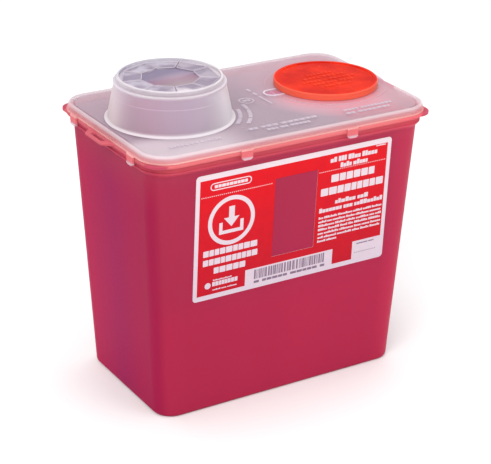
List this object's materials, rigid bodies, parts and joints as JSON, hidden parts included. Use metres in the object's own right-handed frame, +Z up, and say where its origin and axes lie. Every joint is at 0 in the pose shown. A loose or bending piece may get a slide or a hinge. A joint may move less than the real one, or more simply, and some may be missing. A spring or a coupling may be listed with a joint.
{
  "type": "sharps container",
  "caption": "Tapered plastic disposal box with a clip-on lid, a raised round entry chimney closed by bending flaps, strap loops and a stowed round closing cap.",
  "frame": {"origin": "centre of the footprint, on the surface the box stands on", "axes": "+X along the width from the chimney towards the cap, +Y from the label face to the back, +Z up"},
  "size_m": [0.2624, 0.1586, 0.254],
  "materials": {
    "tub_red": "translucent crimson moulded polypropylene, satin",
    "lid_clear": "milky translucent moulded polypropylene",
    "cap_red": "translucent orange-red moulded plastic",
    "label": "printed film label, semi-gloss"
  },
  "bodies": {
    "tub": {"tub": "tub_red", "front_label": "label"},
    "lid": {"lid": "lid_clear", "chimney": "lid_clear"},
    "cap": {"cap": "cap_red"},
    "flap_1": {"flap_1": "lid_clear"},
    "flap_2": {"flap_2": "lid_clear"},
    "flap_3": {"flap_3": "lid_clear"},
    "flap_4": {"flap_4": "lid_clear"},
    "flap_5": {"flap_5": "lid_clear"},
    "flap_6": {"flap_6": "lid_clear"},
    "flap_7": {"flap_7": "lid_clear"},
    "flap_8": {"flap_8": "lid_clear"},
    "flap_9": {"flap_9": "lid_clear"},
    "snap_tab_front_1": {"snap_tab_front_1": "lid_clear"},
    "snap_tab_front_2": {"snap_tab_front_2": "lid_clear"},
    "snap_tab_right_1": {"snap_tab_right_1": "lid_clear"},
    "snap_tab_right_2": {"snap_tab_right_2": "lid_clear"},
    "snap_tab_back_1": {"snap_tab_back_1": "lid_clear"},
    "snap_tab_back_2": {"snap_tab_back_2": "lid_clear"},
    "snap_tab_left_1": {"snap_tab_left_1": "lid_clear"},
    "snap_tab_left_2": {"snap_tab_left_2": "lid_clear"}
  },
  "joints": [
    {"name": "lid_lift", "type": "slide", "parent": "tub", "child": "lid", "axis": [0, 0, 1], "range_m": [0, 0.06]},
    {"name": "cap_lift", "type": "slide", "parent": "lid", "child": "cap", "axis": [0, 0, 1], "range_m": [0, 0.05]},
    {"name": "flap_1_bend", "type": "hinge", "parent": "lid", "child": "flap_1", "pos_m": [-0.03747, 0.01497, 0.251], "axis": [0.5, -0.866, 0], "range_deg": [0, 60], "stiffness_Nm_per_rad": 0.01},
    {"name": "flap_2_bend", "type": "hinge", "parent": "lid", "child": "flap_2", "pos_m": [-0.05588, 0.03041, 0.251], "axis": [0.9397, -0.342, 0], "range_deg": [0, 60], "stiffness_Nm_per_rad": 0.01},
    {"name": "flap_3_bend", "type": "hinge", "parent": "lid", "child": "flap_3", "pos_m": [-0.07992, 0.03041, 0.251], "axis": [0.9397, 0.342, 0], "range_deg": [0, 60], "stiffness_Nm_per_rad": 0.01},
    {"name": "flap_4_bend", "type": "hinge", "parent": "lid", "child": "flap_4", "pos_m": [-0.09833, 0.01497, 0.251], "axis": [0.5, 0.866, 0], "range_deg": [0, 60], "stiffness_Nm_per_rad": 0.01},
    {"name": "flap_5_bend", "type": "hinge", "parent": "lid", "child": "flap_5", "pos_m": [-0.1025, -0.0087, 0.251], "axis": [-0.1736, 0.9848, 0], "range_deg": [0, 60], "stiffness_Nm_per_rad": 0.01},
    {"name": "flap_6_bend", "type": "hinge", "parent": "lid", "child": "flap_6", "pos_m": [-0.09048, -0.02951, 0.251], "axis": [-0.766, 0.6428, 0], "range_deg": [0, 60], "stiffness_Nm_per_rad": 0.01},
    {"name": "flap_7_bend", "type": "hinge", "parent": "lid", "child": "flap_7", "pos_m": [-0.0679, -0.03773, 0.251], "axis": [-1, 0, 0], "range_deg": [0, 60], "stiffness_Nm_per_rad": 0.01},
    {"name": "flap_8_bend", "type": "hinge", "parent": "lid", "child": "flap_8", "pos_m": [-0.04532, -0.02951, 0.251], "axis": [-0.766, -0.6428, 0], "range_deg": [0, 60], "stiffness_Nm_per_rad": 0.01},
    {"name": "flap_9_bend", "type": "hinge", "parent": "lid", "child": "flap_9", "pos_m": [-0.0333, -0.0087, 0.251], "axis": [-0.1736, -0.9848, 0], "range_deg": [0, 60], "stiffness_Nm_per_rad": 0.01},
    {"name": "snap_tab_front_1_flex", "type": "hinge", "parent": "lid", "child": "snap_tab_front_1", "pos_m": [-0.046, -0.07885, 0.2149], "axis": [-1, 0, 0], "range_deg": [0, 12], "stiffness_Nm_per_rad": 0.05},
    {"name": "snap_tab_front_2_flex", "type": "hinge", "parent": "lid", "child": "snap_tab_front_2", "pos_m": [0.046, -0.07885, 0.2149], "axis": [-1, 0, 0], "range_deg": [0, 12], "stiffness_Nm_per_rad": 0.05},
    {"name": "snap_tab_right_1_flex", "type": "hinge", "parent": "lid", "child": "snap_tab_right_1", "pos_m": [0.12485, -0.046, 0.2149], "axis": [0, -1, 0], "range_deg": [0, 12], "stiffness_Nm_per_rad": 0.05},
    {"name": "snap_tab_right_2_flex", "type": "hinge", "parent": "lid", "child": "snap_tab_right_2", "pos_m": [0.12485, 0.046, 0.2149], "axis": [0, -1, 0], "range_deg": [0, 12], "stiffness_Nm_per_rad": 0.05},
    {"name": "snap_tab_back_1_flex", "type": "hinge", "parent": "lid", "child": "snap_tab_back_1", "pos_m": [0.046, 0.07885, 0.2149], "axis": [1, 0, 0], "range_deg": [0, 12], "stiffness_Nm_per_rad": 0.05},
    {"name": "snap_tab_back_2_flex", "type": "hinge", "parent": "lid", "child": "snap_tab_back_2", "pos_m": [-0.046, 0.07885, 0.2149], "axis": [1, 0, 0], "range_deg": [0, 12], "stiffness_Nm_per_rad": 0.05},
    {"name": "snap_tab_left_1_flex", "type": "hinge", "parent": "lid", "child": "snap_tab_left_1", "pos_m": [-0.12485, 0.046, 0.2149], "axis": [0, 1, 0], "range_deg": [0, 12], "stiffness_Nm_per_rad": 0.05},
    {"name": "snap_tab_left_2_flex", "type": "hinge", "parent": "lid", "child": "snap_tab_left_2", "pos_m": [-0.12485, -0.046, 0.2149], "axis": [0, 1, 0], "range_deg": [0, 12], "stiffness_Nm_per_rad": 0.05}
  ]
}
